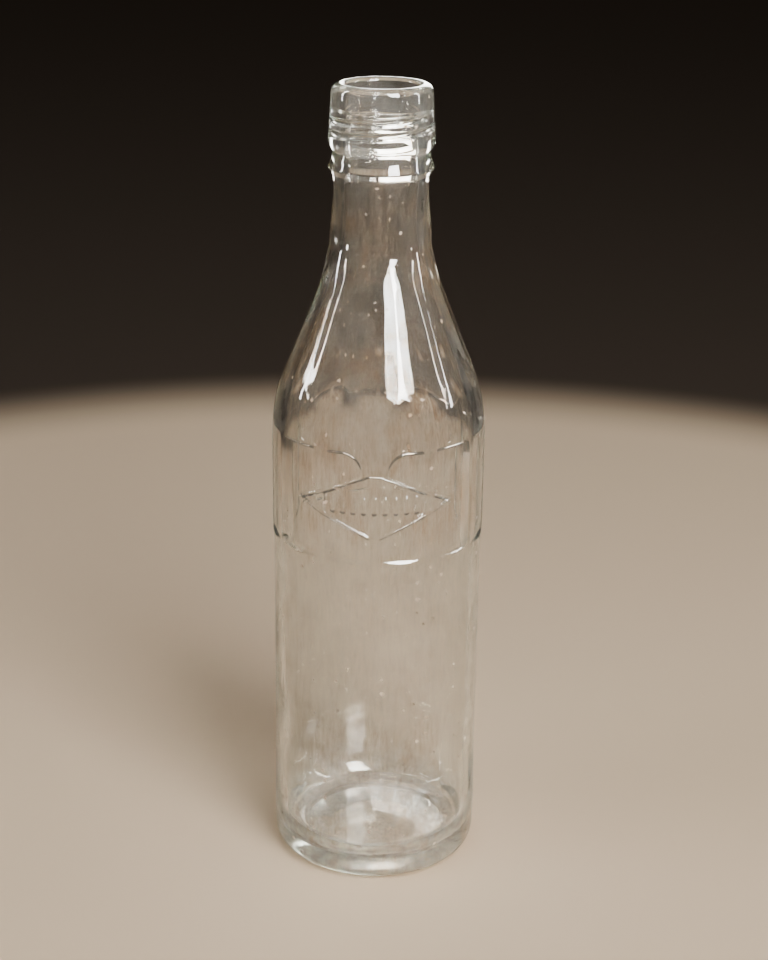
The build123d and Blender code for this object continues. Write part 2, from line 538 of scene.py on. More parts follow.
@dataclass(frozen=True)
class Seeds:
    """Small bubbles caught in the wall when the glass was worked."""

    count: int = 26
    smallest: float = 0.10
    largest: float = 0.32
    lowest: float = 14.0
    highest: float = 236.0
    seed: int = 11
    rings: int = 5
    spokes: int = 9
    placed: tuple[tuple[float, float, float, float], ...] = (
        (14.6, 57.0, 261.0, 0.95),
        (14.0, -17.0, 232.0, 0.42),
        (15.1, 58.0, 256.5, 0.5),
    )

    def ball(self) -> tuple[np.ndarray, np.ndarray]:
        """A unit ball whose faces look into it, since a bubble is a hollow in the glass.

        Its points are the sine of the polar angle times the cosine and sine of the
        turn, and the cosine of the polar angle for the height.

        Returns:
            Points and triangles.
        """
        polar = np.linspace(0.0, math.pi, self.rings + 2)[1:-1]
        turn = np.linspace(0.0, 2.0 * math.pi, self.spokes, endpoint=False)
        across = np.sin(polar)[:, None]
        grid = np.stack([
            across * np.cos(turn),
            across * np.sin(turn),
            np.broadcast_to(np.cos(polar)[:, None], (self.rings, self.spokes)),
        ], axis=-1).reshape(-1, 3)
        points = np.vstack([[[0.0, 0.0, 1.0]], grid, [[0.0, 0.0, -1.0]]])
        index = 1 + np.arange(self.rings * self.spokes).reshape(self.rings, self.spokes)
        after = np.roll(index, -1, axis=1)
        upper, lower = index[:-1], index[1:]
        upper_after, lower_after = after[:-1], after[1:]
        sides = np.concatenate([
            np.stack([upper, upper_after, lower_after], -1).reshape(-1, 3),
            np.stack([upper, lower_after, lower], -1).reshape(-1, 3),
        ])
        top = np.column_stack([np.zeros(self.spokes, int), after[0], index[0]])
        last = np.full(self.spokes, len(points) - 1)
        bottom = np.column_stack([last, index[-1], after[-1]])
        return points, np.vstack([sides, top, bottom])

    def in_wall(self, middle: np.ndarray) -> tuple[np.ndarray, np.ndarray]:
        """Every bubble, set in the middle of the wall.

        Args:
            middle: rows of height and the radius half-way through the wall.

        Returns:
            Points and triangles.
        """
        draw = np.random.default_rng(self.seed)
        heights = draw.uniform(self.lowest, self.highest, self.count)
        angles = draw.uniform(-180.0, 180.0, self.count)
        share = draw.uniform(0.0, 1.0, self.count) ** 2
        sizes = self.smallest + (self.largest - self.smallest) * share
        radii = np.interp(heights, middle[:, 0], middle[:, 1])
        drawn = np.column_stack([radii, angles, heights, sizes])
        radius, angle, height, size = np.vstack([drawn, np.array(self.placed)]).T
        turn = np.radians(angle)
        centres = np.column_stack([radius * np.sin(turn), -radius * np.cos(turn), height])
        points, faces = self.ball()
        placed = centres[:, None, :] + size[:, None, None] * points[None, :, :]
        shift = np.arange(len(centres))[:, None, None] * len(points)
        return placed.reshape(-1, 3), (faces[None, :, :] + shift).reshape(-1, 3)


@dataclass(frozen=True)
class Pattern:
    """A noise pattern and the span of its values that shows."""

    scale: float
    detail: float
    roughness: float
    low: float
    high: float

    def draw(self, nodes: "Nodes", place: bpy.types.NodeSocket) -> bpy.types.NodeSocket:
        """Adds the pattern to a material.

        Args:
            nodes: the material's nodes.
            place: the coordinates that it is drawn on.

        Returns:
            The pattern, from 0 at its low value to 1 at its high one.
        """
        noise = nodes.noise(place, self.scale, self.detail, self.roughness)
        return nodes.remap(noise, self.low, self.high)


@dataclass(frozen=True)
class GlassFinish:
    """Clear old glass with a faint green-grey tint, scuffed and dusty from use."""

    name: str = "clear_old_glass"
    tint: tuple[float, float, float, float] = (0.975, 0.985, 0.975, 1.0)
    dust: tuple[float, float, float, float] = (0.60, 0.47, 0.35, 1.0)
    index: float = 1.51
    depth_colour: tuple[float, float, float, float] = (0.60, 0.76, 0.66, 1.0)
    depth_density: float = 12.0
    dusty: tuple[tuple[float, float], ...] = (
        (0.0, 0.8), (0.06, 0.5), (0.16, 0.22), (0.42, 0.3), (0.5, 0.6),
        (0.66, 0.8), (0.76, 1.0), (0.88, 0.9), (0.92, 0.5), (1.0, 0.45),
    )
    film: float = 0.30
    haze_share: float = 0.24
    haze_roughness: float = 0.035
    haze_warmth: float = 1.8
    clouds: Pattern = Pattern(42.0, 6.0, 0.62, 0.36, 0.68)
    mottle: Pattern = Pattern(230.0, 8.0, 0.75, 0.40, 0.66)
    scuffs: Pattern = Pattern(700.0, 5.0, 0.65, 0.48, 0.70)
    scuff_stretch: float = 0.16
    rubbed: tuple[tuple[float, float], ...] = (
        (0.0, 1.0), (0.04, 0.9), (0.08, 0.0), (0.88, 0.0), (0.92, 0.2), (1.0, 0.2),
    )
    rubs: Pattern = Pattern(240.0, 6.0, 0.7, 0.30, 0.62)
    rub_share: float = 0.22
    rub_roughness: float = 0.11
    speck_scale: float = 260.0
    speck_rarity: tuple[float, float] = (0.77, 1.05)
    speck_size: float = 0.22
    speck_edge: float = 0.03
    speck_ragged: float = 0.0014
    speck_share: float = 0.85
    speck_roughness: float = 0.6
    relief_stretch: float = 0.4
    ripple_scale: float = 75.0
    ripple_depth: float = 5e-5
    grain_scale: float = 1500.0
    grain_depth: float = 4e-6

    def make(self) -> bpy.types.Material:
        """Builds the material on Object coordinates.

        Returns:
            The glass, with dust, scuffs, rubbed ends, specks, relief and depth colour.
        """
        nodes = Nodes(bpy.data.materials.new(self.name))
        place = nodes.add("ShaderNodeTexCoord").outputs["Object"]
        haze = nodes.math("MULTIPLY", self.worn_face(nodes, place),
                          self.by_height(nodes, place, self.dusty))
        specks = self.specks(nodes, place)
        ends = self.rubbed_ends(nodes, place)
        lost = nodes.total(((haze, self.haze_share), (specks, self.speck_share),
                            (ends, self.rub_share)))
        rough = nodes.total(((haze, self.haze_roughness), (specks, self.speck_roughness),
                             (ends, self.rub_roughness)))
        warmth = nodes.total(((specks, 1.0), (haze, self.haze_warmth)))
        shader = nodes.surface({Socket.INDEX: self.index})
        nodes.join(nodes.mix_colour(warmth, self.tint, self.dust),
                   shader.inputs[Socket.COLOUR.value])
        nodes.join(rough, shader.inputs[Socket.ROUGHNESS.value])
        nodes.join(nodes.math("SUBTRACT", 1.0, lost, clamp=True),
                   shader.inputs[Socket.TRANSMISSION.value])
        nodes.join(self.relief(nodes, place), shader.inputs[Socket.NORMAL.value])
        depth = nodes.add("ShaderNodeVolumeAbsorption")
        depth.inputs["Color"].default_value = self.depth_colour
        depth.inputs["Density"].default_value = self.depth_density
        nodes.join(depth.outputs["Volume"], nodes.output.inputs["Volume"])
        return nodes.owner

    def worn_face(self, nodes: "Nodes",
                  place: bpy.types.NodeSocket) -> bpy.types.NodeSocket:
        """A mottled film of dust with fine upright scuffs, both broken up by clouds.

        Args:
            nodes: the material's nodes.
            place: Object coordinates.

        Returns:
            How worn the face is, from 0 to 1.
        """
        upright = nodes.stretch(place, (1.0, 1.0, self.scuff_stretch))
        scuffs = self.scuffs.draw(nodes, upright)
        clouds = self.clouds.draw(nodes, place)
        mottle = self.mottle.draw(nodes, upright)
        film = nodes.math("MULTIPLY", nodes.math("ADD", mottle, clouds), self.film)
        return nodes.math("ADD", film, nodes.math("MULTIPLY", scuffs, clouds), clamp=True)

    def by_height(self, nodes: "Nodes", place: bpy.types.NodeSocket,
                  stops: tuple[tuple[float, float], ...]) -> bpy.types.NodeSocket:
        """A grey that follows the height.

        Args:
            nodes: the material's nodes.
            place: Object coordinates.
            stops: shares of the bottle's height, each with its grey.

        Returns:
            The grey.
        """
        split = nodes.add("ShaderNodeSeparateXYZ")
        nodes.join(place, split.inputs[0])
        share = nodes.math("DIVIDE", split.outputs["Z"], cad_box[1].z, clamp=True)
        return nodes.ramp(share, stops)

    def rubbed_ends(self, nodes: "Nodes",
                    place: bpy.types.NodeSocket) -> bpy.types.NodeSocket:
        """How rubbed the glass is: the heel that it stands on, and less so the lip."""
        zones = self.by_height(nodes, place, self.rubbed)
        return nodes.math("MULTIPLY", zones, self.rubs.draw(nodes, place))

    def specks(self, nodes: "Nodes", place: bpy.types.NodeSocket) -> bpy.types.NodeSocket:
        """Sparse dried spots: ragged cells of a Voronoi pattern, of which a few are filled.

        Args:
            nodes: the material's nodes.
            place: Object coordinates.

        Returns:
            The specks, 1 on a speck and 0 off it.
        """
        cells = nodes.add("ShaderNodeTexVoronoi")
        cells.inputs["Scale"].default_value = self.speck_scale
        shift = nodes.noise(place, self.grain_scale, detail=3.0, colour=True)
        ragged = nodes.add("ShaderNodeVectorMath")
        ragged.operation = "MULTIPLY_ADD"
        nodes.join(shift, ragged.inputs[0])
        ragged.inputs[1].default_value = (self.speck_ragged,) * 3
        nodes.join(place, ragged.inputs[2])
        nodes.join(ragged.outputs["Vector"], cells.inputs["Vector"])
        parts = nodes.add("ShaderNodeSeparateColor")
        nodes.join(cells.outputs["Color"], parts.inputs[0])
        chosen = nodes.remap(parts.outputs["Red"], *self.speck_rarity)
        size = nodes.math("MULTIPLY", chosen, self.speck_size)
        spot = nodes.math("SUBTRACT", size, cells.outputs["Distance"])
        return nodes.remap(spot, 0.0, self.speck_edge)

    def relief(self, nodes: "Nodes", place: bpy.types.NodeSocket) -> bpy.types.NodeSocket:
        """Slow ripples left by the mould, with a fine grain over them.

        Args:
            nodes: the material's nodes.
            place: Object coordinates.

        Returns:
            The surface's normal.
        """
        upright = nodes.stretch(place, (1.0, 1.0, self.relief_stretch))
        ripples = nodes.noise(upright, self.ripple_scale)
        slow = nodes.bump(ripples, self.ripple_depth, None)
        grain = nodes.noise(upright, self.grain_scale)
        return nodes.bump(grain, self.grain_depth, slow)


@dataclass(frozen=True)
class FloorFinish:
    """A studio floor painted pale near the bottle and dark further out: a painted pool of
    light, with painted shade round it standing in for light that falls off.
    """

    name: str = "floor_painted_falloff"
    # The floor's pale colour under the painted pool of light.
    near: tuple[float, float, float, float] = (0.74, 0.60, 0.45, 1.0)
    # Painted shade: the dark that the floor is painted towards away from the bottle,
    # standing in for light falling off.
    far: tuple[float, float, float, float] = (0.085, 0.070, 0.058, 1.0)
    # Distances in metres from the middle over which the painted pool of light fades into
    # the painted shade.
    fall_from: float = 0.47
    fall_to: float = 0.58
    roughness: float = 0.7

    def make(self) -> bpy.types.Material:
        """Builds the material: a colour that follows the distance from the middle, painted
        light that goes from pale near the bottle to painted shade further out.

        Returns:
            The floor's material.
        """
        nodes = Nodes(bpy.data.materials.new(self.name))
        place = nodes.add("ShaderNodeTexCoord").outputs["Object"]
        length = nodes.add("ShaderNodeVectorMath")
        length.operation = "LENGTH"
        nodes.join(place, length.inputs[0])
        # How far out the painted falloff of light has gone, from 0 near the bottle to 1
        # further out.
        share = nodes.remap(length.outputs["Value"], self.fall_from, self.fall_to)
        shader = nodes.surface({Socket.ROUGHNESS: self.roughness, Socket.SPECULAR: 0.0})
        # The painted pool of light and painted shade, as a mix of the two floor colours.
        colour = nodes.mix_colour(share, self.near, self.far)
        nodes.join(colour, shader.inputs[Socket.COLOUR.value])
        return nodes.owner


class Nodes:
    """A node tree, with a short call for each kind of node in use."""

    def __init__(self, owner: bpy.types.Material | bpy.types.World) -> None:
        """Takes up the node tree of a material or a world.

        Args:
            owner: what the tree belongs to.
        """
        owner.use_nodes = True
        self.owner = owner
        self.tree = owner.node_tree
        self.tree.nodes.clear()
        kind = "Material" if isinstance(owner, bpy.types.Material) else "World"
        self.output = self.add(f"ShaderNodeOutput{kind}")

    def add(self, kind: str) -> bpy.types.Node:
        """Adds one node of a kind."""
        return self.tree.nodes.new(kind)

    def join(self, source: bpy.types.NodeSocket, target: bpy.types.NodeSocket) -> None:
        """Links an output to an input."""
        self.tree.links.new(source, target)

    def put(self, value: float | bpy.types.NodeSocket,
            target: bpy.types.NodeSocket) -> None:
        """Sets an input to a number, or links it where the value is an output.

        Args:
            value: the number or the output.
            target: the input.
        """
        if isinstance(value, bpy.types.NodeSocket):
            self.join(value, target)
        else:
            target.default_value = value

    def surface(self, values: dict[Socket, float]) -> bpy.types.Node:
        """Adds the surface shader and joins it to the output.

        Args:
            values: what some of its sockets are set to.

        Returns:
            The shader.
        """
        shader = self.add("ShaderNodeBsdfPrincipled")
        for socket, value in values.items():
            shader.inputs[socket.value].default_value = value
        self.join(shader.outputs["BSDF"], self.output.inputs["Surface"])
        return shader

    def math(self, operation: str, first: float | bpy.types.NodeSocket,
             second: float | bpy.types.NodeSocket,
             clamp: bool = False) -> bpy.types.NodeSocket:
        """Adds a Math node.

        Args:
            operation: what it does.
            first: its first value.
            second: its second value.
            clamp: whether the result is kept from 0 to 1.

        Returns:
            Its output.
        """
        node = self.add("ShaderNodeMath")
        node.operation = operation
        node.use_clamp = clamp
        self.put(first, node.inputs[0])
        self.put(second, node.inputs[1])
        return node.outputs[0]

    def total(self, parts: tuple[tuple[bpy.types.NodeSocket, float], ...]
              ) -> bpy.types.NodeSocket:
        """Adds up values, each times its weight, and keeps the sum from 0 to 1.

        Args:
            parts: the values and their weights.

        Returns:
            The sum.
        """
        weighed = [self.math("MULTIPLY", value, weight) for value, weight in parts]
        made = weighed[0]
        for value in weighed[1:]:
            made = self.math("ADD", made, value)
        return self.math("MINIMUM", made, 1.0)

    def remap(self, value: bpy.types.NodeSocket, low: float,
              high: float) -> bpy.types.NodeSocket:
        """Takes a span of values to a smooth step.

        Args:
            value: what is taken.
            low: the value that becomes 0.
            high: the value that becomes 1.

        Returns:
            The step.
        """
        node = self.add("ShaderNodeMapRange")
        node.interpolation_type = "SMOOTHSTEP"
        node.inputs["From Min"].default_value = low
        node.inputs["From Max"].default_value = high
        self.join(value, node.inputs["Value"])
        return node.outputs["Result"]

    def ramp(self, value: bpy.types.NodeSocket,
             stops: tuple[tuple[float, float], ...]) -> bpy.types.NodeSocket:
        """Adds a grey ramp.

        Args:
            value: what the ramp follows, from 0 to 1.
            stops: the ramp's places, each with its grey.

        Returns:
            The grey.
        """
        node = self.add("ShaderNodeValToRGB")
        steps = node.color_ramp.elements
        for number, (place, grey) in enumerate(stops):
            step = steps[number] if number < 2 else steps.new(place)
            step.position = place
            step.color = (grey, grey, grey, 1.0)
        self.join(value, node.inputs["Fac"])
        return node.outputs["Color"]

    def stretch(self, place: bpy.types.NodeSocket,
                scale: tuple[float, float, float]) -> bpy.types.NodeSocket:
        """Scales a pattern's coordinates.

        Args:
            place: the coordinates.
            scale: the factor along each axis.

        Returns:
            The scaled coordinates.
        """
        node = self.add("ShaderNodeMapping")
        node.inputs["Scale"].default_value = scale
        self.join(place, node.inputs["Vector"])
        return node.outputs["Vector"]

    def noise(self, place: bpy.types.NodeSocket, scale: float, detail: float = 2.0,
              roughness: float = 0.5, colour: bool = False) -> bpy.types.NodeSocket:
        """Adds a noise pattern.

        Args:
            place: the coordinates that it is drawn on.
            scale: how many waves it has to a metre.
            detail: how many finer layers it has.
            roughness: how strong the finer layers are.
            colour: whether it comes as three separate parts.

        Returns:
            The noise, grey or in three parts.
        """
        node = self.add("ShaderNodeTexNoise")
        node.inputs["Scale"].default_value = scale
        node.inputs["Detail"].default_value = detail
        node.inputs["Roughness"].default_value = roughness
        self.join(place, node.inputs["Vector"])
        return node.outputs["Color" if colour else "Fac"]

    def bump(self, height: bpy.types.NodeSocket, depth: float,
             below: bpy.types.NodeSocket | None) -> bpy.types.NodeSocket:
        """Adds relief to the surface's normal.

        Args:
            height: the relief's height.
            depth: how deep it is in metres.
            below: the normal of other relief under it, if there is one.

        Returns:
            The normal.
        """
        node = self.add("ShaderNodeBump")
        node.inputs["Distance"].default_value = depth
        self.join(height, node.inputs["Height"])
        if below is not None:
            self.join(below, node.inputs["Normal"])
        return node.outputs["Normal"]

    def mix_colour(self, share: bpy.types.NodeSocket, first: tuple[float, ...],
                   second: tuple[float, ...]) -> bpy.types.NodeSocket:
        """Mixes two colours.

        Args:
            share: how much of the second there is.
            first: the colour at 0.
            second: the colour at 1.

        Returns:
            The mixed colour.
        """
        node = self.add("ShaderNodeMix")
        node.data_type = "RGBA"
        self.join(share, node.inputs["Factor"])
        node.inputs["A"].default_value = first
        node.inputs["B"].default_value = second
        return node.outputs["Result"]


def mesh_object(name: str, points: np.ndarray, shapes: list[np.ndarray],
                material: bpy.types.Material) -> bpy.types.Object:
    """Makes a smooth-shaded object at the origin from whole arrays.

    Args:
        name: the object's name.
        points: its vertices, in millimetres.
        shapes: arrays of faces, each with one number of corners.
        material: its finish.

    Returns:
        The object, linked to the scene.
    """
    mesh = bpy.data.meshes.new(name)
    mesh.vertices.add(len(points))
    mesh.vertices.foreach_set("co", (points * MILLIMETRE).astype(np.float32).ravel())
    corners = np.concatenate([shape.ravel() for shape in shapes]).astype(np.int32)
    sizes = np.concatenate([np.full(len(shape), shape.shape[1]) for shape in shapes])
    starts = np.concatenate([[0], np.cumsum(sizes)[:-1]]).astype(np.int32)
    mesh.loops.add(len(corners))
    mesh.loops.foreach_set("vertex_index", corners)
    mesh.polygons.add(len(sizes))
    mesh.polygons.foreach_set("loop_start", starts)
    mesh.polygons.foreach_set("use_smooth", np.ones(len(sizes), bool))
    mesh.update(calc_edges=True)
    mesh.validate()
    mesh.materials.append(material)
    made = bpy.data.objects.new(name, mesh)
    bpy.context.scene.collection.objects.link(made)
    return made


@dataclass(frozen=True)
class Skin:
    """Rings of vertices along an outline, joined into one closed surface."""

    columns: ColumnSpacing = field(default_factory=ColumnSpacing)

    def ring_faces(self, start: int, rows: int, count: int) -> np.ndarray:
        """Four-sided faces between the rows of one grid that closes on itself.

        Args:
            start: the grid's first vertex.
            rows: how many rows it has.
            count: how many vertices a row has.

        Returns:
            The faces, turned outwards where rows climb and angles grow.
        """
        index = start + np.arange(rows * count).reshape(rows, count)
        after = np.roll(index, -1, axis=1)
        quads = np.stack([index[:-1], after[:-1], after[1:], index[1:]], axis=-1)
        return quads.reshape(-1, 4)

    def seam_faces(self, few: np.ndarray, many: np.ndarray, few_start: int,
                   many_start: int, few_first: bool) -> np.ndarray:
        """Triangles between a row of few vertices and a row of many.

        Each step of the closer row joins the nearer end of the wide step that holds it,
        and each wide step joins the closer row's vertex where that nearer end changes.

        Args:
            few: angles of the wide row, all of them found in the other.
            many: angles of the close row.
            few_start: the wide row's first vertex.
            many_start: the close row's first vertex.
            few_first: whether the wide row comes first along the outline.

        Returns:
            The triangles.
        """
        next_few = np.append(few[1:], few[0] + FULL_TURN)
        next_many = np.append(many[1:], many[0] + FULL_TURN)
        middle = (many + next_many) / 2.0
        cell = np.searchsorted(few, middle, side="right") - 1
        early = middle < (few + next_few)[cell] / 2.0
        step = np.arange(len(many))
        near = few_start + (cell + ~early) % len(few)
        this = many_start + step
        following = many_start + (step + 1) % len(many)
        first_step = np.searchsorted(cell, np.arange(len(few)))
        switch = first_step + np.bincount(cell, early, len(few)).astype(int)
        hinge = many_start + switch % len(many)
        wide = few_start + np.arange(len(few))
        wide_next = few_start + (np.arange(len(few)) + 1) % len(few)
        close = np.column_stack([this, following, near])
        open_ = np.column_stack([wide_next, wide, hinge])
        triangles = np.vstack([close, open_])
        return triangles[:, ::-1] if few_first else triangles

    def pole_faces(self, pole: int, ring: int, count: int, upward: bool) -> np.ndarray:
        """Triangles from a pole to its ring.

        Args:
            pole: the vertex at the pole.
            ring: the ring's first vertex.
            count: how many vertices the ring has.
            upward: whether the faces look up.

        Returns:
            The triangles.
        """
        step = np.arange(count)
        after = ring + (step + 1) % count
        fan = np.column_stack([np.full(count, pole), ring + step, after])
        return fan if upward else fan[:, ::-1]


@dataclass(frozen=True)
class GlassBottle:
    """The bottle's glass, from the push-up under its base round to the floor inside."""

    body_radius: float
    height: float
    wall: float = 4.0
    band: PanelBand = field(default_factory=PanelBand)
    cartouche: Cartouche = field(default_factory=Cartouche)
    thread: ScrewThread = field(default_factory=ScrewThread)
    seeds: Seeds = field(default_factory=Seeds)
    spacing: RowSpacing = field(default_factory=RowSpacing)
    skin: Skin = field(default_factory=Skin)
    finish: GlassFinish = field(default_factory=GlassFinish)
    push_up_height: float = 4.0
    push_up_rounding: float = 20.0
    push_up_flat: float = 12.0
    ring_radius: float = 25.3
    ring_rounding: float = 0.5
    heel_inset: float = 0.7
    heel_rounding: float = 6.0
    bulge_inset: float = 0.1
    bulge_height: float = 15.0
    bulge_rounding: float = 120.0
    label_recess: float = 0.4
    label_bottom: float = 32.0
    label_rounding: float = 200.0
    band_step_start: float = 116.5
    band_step_end: float = 122.5
    band_step_rounding: float = 40.0
    cone_angle: float = 22.0
    shoulder_rounding: float = 75.0
    shoulder_wall: float = 4.2
    root_rounding: float = 60.0
    root_length: float = 11.5
    root_slope: float = 0.263
    flute_count: int = 12
    flute_depth: float = 0.7
    flute_overlap: float = 2.0
    flute_edge: float = 0.10
    foot_depth: float = 52.0
    foot_length: float = 4.5
    foot_step: float = 1.2
    foot_low_rounding: float = 3.0
    foot_high_rounding: float = 6.0
    neck_wall: float = 3.8
    neck_straight_depth: float = 36.0
    neck_rounding: float = 30.0
    neck_top_step: float = 0.35
    neck_top_height: float = 2.6
    neck_end_rounding: float = 0.6
    collar_wall: float = 5.25
    collar_depth: float = 26.5
    collar_edge: float = 0.4
    collar_chamfer: float = 2.0
    sharp_rounding: float = 0.12
    skirt_wall: float = 4.2
    skirt_depth: float = 24.1
    skirt_rounding: float = 6.0
    crease_wall: float = 3.7
    crease_depth: float = 21.5
    crease_rounding: float = 0.2
    lip_wall: float = 5.55
    lip_depth: float = 19.4
    lip_rounding: float = 6.0
    lip_top_wall: float = 4.1
    lip_crest_rounding: float = 2.65
    mouth_radius: float = 12.1
    mouth_rounding: float = 1.55
    seat_depth: float = 8.0
    seat_step_length: float = 1.0
    seat_rounding: float = 2.0
    bore_step: float = 0.3
    throat_rounding: float = 40.0
    floor_height: float = 6.5
    floor_rise: float = 2.0
    floor_rounding: float = 60.0
    floor_corner: float = 10.5
    floor_corner_rounding: float = 10.0
    inner_ripples: Ripples = Ripples(0.34, 14, 5, 24.0, 90.0, 5)
    inner_rippled: tuple[float, float, float, float] = (10.0, 26.0, 208.0, 248.0)
    outer_ripples: Ripples = Ripples(0.07, 12, 7, 18.0, 60.0, 8)
    label_rippled: tuple[float, float, float, float] = (20.0, 40.0, 106.0, 118.0)
    shoulder_rippled: tuple[float, float, float, float] = (160.0, 175.0, 228.0, 240.0)
    outline_slack: float = 0.01
    wall_samples: int = 80

    @property
    def cone_top(self) -> Corner:
        """The corner where the cone meets the steeper root of the neck.

        Returns:
            The corner, with its rounding.
        """
        foot_radius = self.bore_radius + self.neck_wall + self.foot_step
        radius = foot_radius + self.root_slope * self.root_length
        level = self.height - self.foot_depth - self.root_length
        return Corner(radius, level, self.root_rounding)

    @property
    def cone_bottom(self) -> float:
        """The height at which the cone would meet the upright body."""
        slope = math.tan(math.radians(self.cone_angle))
        return self.cone_top.height - (self.body_radius - self.cone_top.radius) / slope

    @property
    def bore_radius(self) -> float:
        """The radius of the neck's bore, under the wider seat of the mouth."""
        return self.mouth_radius - self.bore_step

    def outside(self) -> list[Corner]:
        """Corners of the outside.

        Returns:
            The corners, from under the base up to the underside of the collar.
        """
        foot_radius = self.bore_radius + self.neck_wall + self.foot_step
        foot = self.height - self.foot_depth
        neck = self.bore_radius + self.neck_wall
        chamfer = self.height - self.collar_depth - self.collar_edge - self.collar_chamfer
        label = self.body_radius - self.label_recess
        return [
            Corner(0.0, self.push_up_height, 0.0),
            Corner(self.push_up_flat, self.push_up_height, self.push_up_rounding),
            Corner(self.ring_radius, 0.0, self.ring_rounding),
            Corner(self.body_radius - self.heel_inset, 0.0, self.heel_rounding),
            Corner(self.body_radius - self.bulge_inset, self.bulge_height,
                   self.bulge_rounding),
            Corner(label, self.label_bottom, self.label_rounding),
            Corner(label, self.band_step_start, self.band_step_rounding),
            Corner(self.body_radius, self.band_step_end, self.band_step_rounding),
            Corner(self.body_radius, self.cone_bottom, self.shoulder_rounding),
            self.cone_top,
            Corner(foot_radius, foot, self.foot_low_rounding),
            Corner(foot_radius, foot + self.foot_length, self.foot_high_rounding),
            Corner(neck, self.height - self.neck_straight_depth, self.neck_rounding),
            Corner(neck, chamfer - self.neck_top_height, self.foot_low_rounding),
            Corner(neck + self.neck_top_step, chamfer, self.neck_end_rounding),
        ]

    def mouth(self) -> list[Corner]:
        """Corners of the collar and the mouth.

        Returns:
            The corners, from the collar's sharp edge over the lip and into the mouth.
        """
        edge = self.mouth_radius + self.collar_wall
        top = self.height
        return [
            Corner(edge, top - self.collar_depth - self.collar_edge, self.sharp_rounding),
            Corner(edge, top - self.collar_depth, self.sharp_rounding),
            Corner(self.mouth_radius + self.skirt_wall, top - self.skirt_depth,
                   self.skirt_rounding),
            Corner(self.mouth_radius + self.crease_wall, top - self.crease_depth,
                   self.crease_rounding),
            Corner(self.mouth_radius + self.lip_wall, top - self.lip_depth,
                   self.lip_rounding),
            Corner(self.mouth_radius + self.lip_top_wall, top, self.lip_crest_rounding),
            Corner(self.mouth_radius, top, self.mouth_rounding),
        ]

    def inside(self) -> list[Corner]:
        """Corners of the hollow.

        Returns:
            The corners, from the seat of the mouth down to the raised floor.
        """
        slope = math.tan(math.radians(self.cone_angle))
        thickness = self.shoulder_wall / math.cos(math.radians(self.cone_angle))
        cone_bottom = self.cone_bottom + (self.wall - thickness) / slope
        narrowing = self.body_radius - thickness - self.bore_radius
        throat = self.cone_bottom + narrowing / slope
        seat = self.height - self.seat_depth
        inner = self.body_radius - self.wall
        return [
            Corner(self.mouth_radius, seat, self.seat_rounding),
            Corner(self.bore_radius, seat - self.seat_step_length, self.seat_rounding),
            Corner(self.bore_radius, throat, self.throat_rounding),
            Corner(inner, cone_bottom, self.shoulder_rounding - self.wall),
            Corner(inner, self.floor_height + self.floor_rise, self.floor_corner_rounding),
            Corner(inner - self.floor_corner, self.floor_height, self.floor_rounding),
            Corner(0.0, self.floor_height + self.floor_rise, 0.0),
        ]

    def flute(self, radius: np.ndarray, angle: np.ndarray,
              height: np.ndarray) -> np.ndarray:
        """Presses the shoulder's flat flutes.

        A flat's distance from the axis follows the cone's outline, moved in by the
        flute's depth and brought back to the neck's foot at its top.

        Args:
            radius: the plain outline's radii.
            angle: angles from the front.
            height: heights.

        Returns:
            The radii with the flutes.
        """
        foot_radius = self.bore_radius + self.neck_wall + self.foot_step
        moved = self.flute_depth / math.cos(math.radians(self.cone_angle))
        line = rounded_outline([
            Corner(self.body_radius - moved, self.cone_bottom, 0.0),
            Corner(self.cone_top.radius - self.flute_depth, self.cone_top.height,
                   self.root_rounding),
            Corner(foot_radius, self.height - self.foot_depth + self.flute_overlap, 0.0),
        ], self.spacing.arc_step)
        sector = FULL_TURN / self.flute_count
        off_middle = np.abs((angle + sector / 2.0) % sector - sector / 2.0)
        flat = np.interp(height, line[:, 1], line[:, 0]) / np.cos(np.radians(off_middle))
        pressed = soft_min(radius, flat, self.flute_edge)
        reached = (height > line[0, 1]) & (height < line[-1, 1])
        return np.where(reached, pressed, radius)

    def outer_radius(self, radius: np.ndarray, angle: np.ndarray,
                     height: np.ndarray) -> np.ndarray:
        """The outside's radius with its flutes, panels, cartouche and slow waves.

        Args:
            radius: the plain outline's radii.
            angle: angles from the front.
            height: heights.

        Returns:
            The changed radii.
        """
        shaped = self.flute(radius, angle, height)
        shaped = self.band.cut(shaped, angle, height, self.body_radius)
        shaped = self.cartouche.press(shaped, angle, height, self.body_radius)
        rippled = fade(height, self.label_rippled) + fade(height, self.shoulder_rippled)
        waves = self.outer_ripples.at(angle, height) - self.outer_ripples.depth
        return shaped + waves * rippled

    def inner_radius(self, radius: np.ndarray, angle: np.ndarray,
                     height: np.ndarray) -> np.ndarray:
        """The inside's radius with its thread and the uneven wall below the neck.

        Args:
            radius: the plain outline's radii.
            angle: angles from the front.
            height: heights.

        Returns:
            The changed radii.
        """
        waves = self.inner_ripples.at(angle, height) * fade(height, self.inner_rippled)
        return radius + waves - self.thread.height_over_wall(angle, height)

